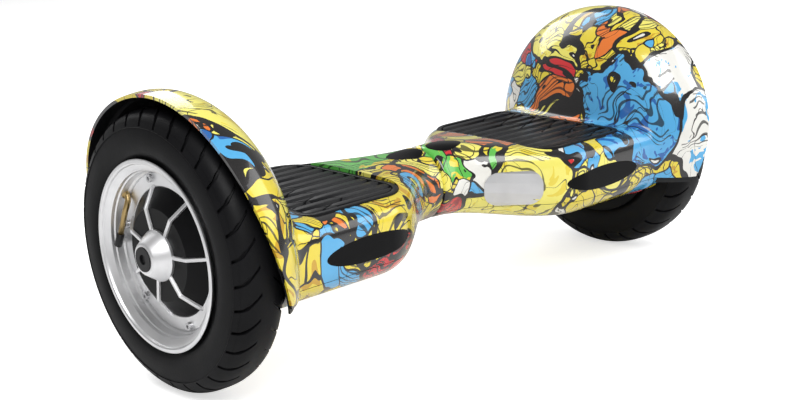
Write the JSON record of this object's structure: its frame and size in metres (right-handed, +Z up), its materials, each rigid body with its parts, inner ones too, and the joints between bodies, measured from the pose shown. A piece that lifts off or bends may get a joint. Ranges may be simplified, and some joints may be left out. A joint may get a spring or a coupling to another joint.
{
  "type": "self balancing hoverboard",
  "caption": "Two wheeled self balancing board: twisting waist, crowned fenders over pneumatic hub motor wheels, ribbed foot mats, printed gloss shell.",
  "frame": {"origin": "on the floor under the middle of the waist", "axes": "+X along the wheel axis to the right wheel, +Y to the rear, +Z up"},
  "size_m": [0.658, 0.2831, 0.269],
  "materials": {
    "printed_shell": "glossy printed pattern under clear lacquer",
    "black_plastic": "fine moulded texture",
    "gloss_black_lens": "smoked gloss",
    "mat_rubber": "moulded rubber with raised ribs",
    "tyre_rubber": "satin black with shoulder sipes",
    "machined_aluminium": "machined and clear coated",
    "cast_aluminium": "as cast",
    "black_painted_metal": "satin black paint",
    "black_steel": "black oxide",
    "steel": "turned",
    "laminated_steel": "varnished laminations",
    "magnet_steel": "nickel plated",
    "valve_brass": "satin brass with black cap",
    "bush_bronze": "sintered",
    "circuit_board": "green solder mask",
    "wire_sleeve": "braided sleeve",
    "battery_wrap": "shrink wrap",
    "badge_metal": "brushed silver, plain"
  },
  "bodies": {
    "left_half": {"charge_port": "black_plastic", "left_arch_liner": "black_plastic", "left_axle": "steel", "left_axle_clamp": "cast_aluminium", "left_bottom_shell": "printed_shell", "left_chassis": "cast_aluminium", "left_clamp_bolts": "black_steel", "left_gyro_board": "circuit_board", "left_headlight_lens": "gloss_black_lens", "left_led_board": "circuit_board", "left_shell_screws": "black_steel", "left_stator": "laminated_steel", "left_status_lens": "gloss_black_lens", "left_top_shell": "printed_shell", "mainboard": "circuit_board", "pivot_tube": "steel", "power_switch": "black_plastic", "retaining_ring": "steel", "wire_harness": "wire_sleeve"},
    "right_half": {"badge": "badge_metal", "battery_pack": "battery_wrap", "pivot_bushes": "bush_bronze", "right_arch_liner": "black_plastic", "right_axle": "steel", "right_axle_clamp": "cast_aluminium", "right_bottom_shell": "printed_shell", "right_chassis": "cast_aluminium", "right_clamp_bolts": "black_steel", "right_gyro_board": "circuit_board", "right_headlight_lens": "gloss_black_lens", "right_led_board": "circuit_board", "right_shell_screws": "black_steel", "right_stator": "laminated_steel", "right_status_lens": "gloss_black_lens", "right_top_shell": "printed_shell"},
    "left_wheel": {"left_axle_cap": "black_plastic", "left_back_cover": "black_painted_metal", "left_bearings": "steel", "left_cover_screws": "steel", "left_magnet_ring": "magnet_steel", "left_motor_cover": "machined_aluminium", "left_rim": "machined_aluminium", "left_tyre": "tyre_rubber", "left_valve": "valve_brass"},
    "right_wheel": {"right_axle_cap": "black_plastic", "right_back_cover": "black_painted_metal", "right_bearings": "steel", "right_cover_screws": "steel", "right_magnet_ring": "magnet_steel", "right_motor_cover": "machined_aluminium", "right_rim": "machined_aluminium", "right_tyre": "tyre_rubber", "right_valve": "valve_brass"},
    "left_mat": {"left_foot_mat": "mat_rubber", "left_sensor_plungers": "mat_rubber"},
    "right_mat": {"right_foot_mat": "mat_rubber", "right_sensor_plungers": "mat_rubber"},
    "power_button": {"power_button": "black_plastic"},
    "charge_flap": {"charge_flap": "mat_rubber"}
  },
  "joints": [
    {"name": "waist_twist", "type": "hinge", "parent": "left_half", "child": "right_half", "pos_m": [0, 0, 0.127], "axis": [1, 0, 0], "range_deg": [-12, 12]},
    {"name": "left_wheel_spin", "type": "hinge", "parent": "left_half", "child": "left_wheel", "pos_m": [-0.292, 0, 0.127], "axis": [1, 0, 0], "continuous": true},
    {"name": "right_wheel_spin", "type": "hinge", "parent": "right_half", "child": "right_wheel", "pos_m": [0.292, 0, 0.127], "axis": [1, 0, 0], "continuous": true},
    {"name": "left_mat_press", "type": "slide", "parent": "left_half", "child": "left_mat", "axis": [0, 0, -1], "range_m": [0, 0.0015], "stiffness_N_per_m": 8000, "springref_m": -0.0006},
    {"name": "right_mat_press", "type": "slide", "parent": "right_half", "child": "right_mat", "axis": [0, 0, -1], "range_m": [0, 0.0015], "stiffness_N_per_m": 8000, "springref_m": -0.0006},
    {"name": "power_press", "type": "slide", "parent": "left_half", "child": "power_button", "axis": [0, -1, 0], "range_m": [0, 0.001], "stiffness_N_per_m": 900, "springref_m": -0.0005},
    {"name": "charge_flap_open", "type": "hinge", "parent": "left_half", "child": "charge_flap", "pos_m": [-0.179, 0.1094, 0.1335], "axis": [1, 0, 0], "range_deg": [0, 110]}
  ]
}
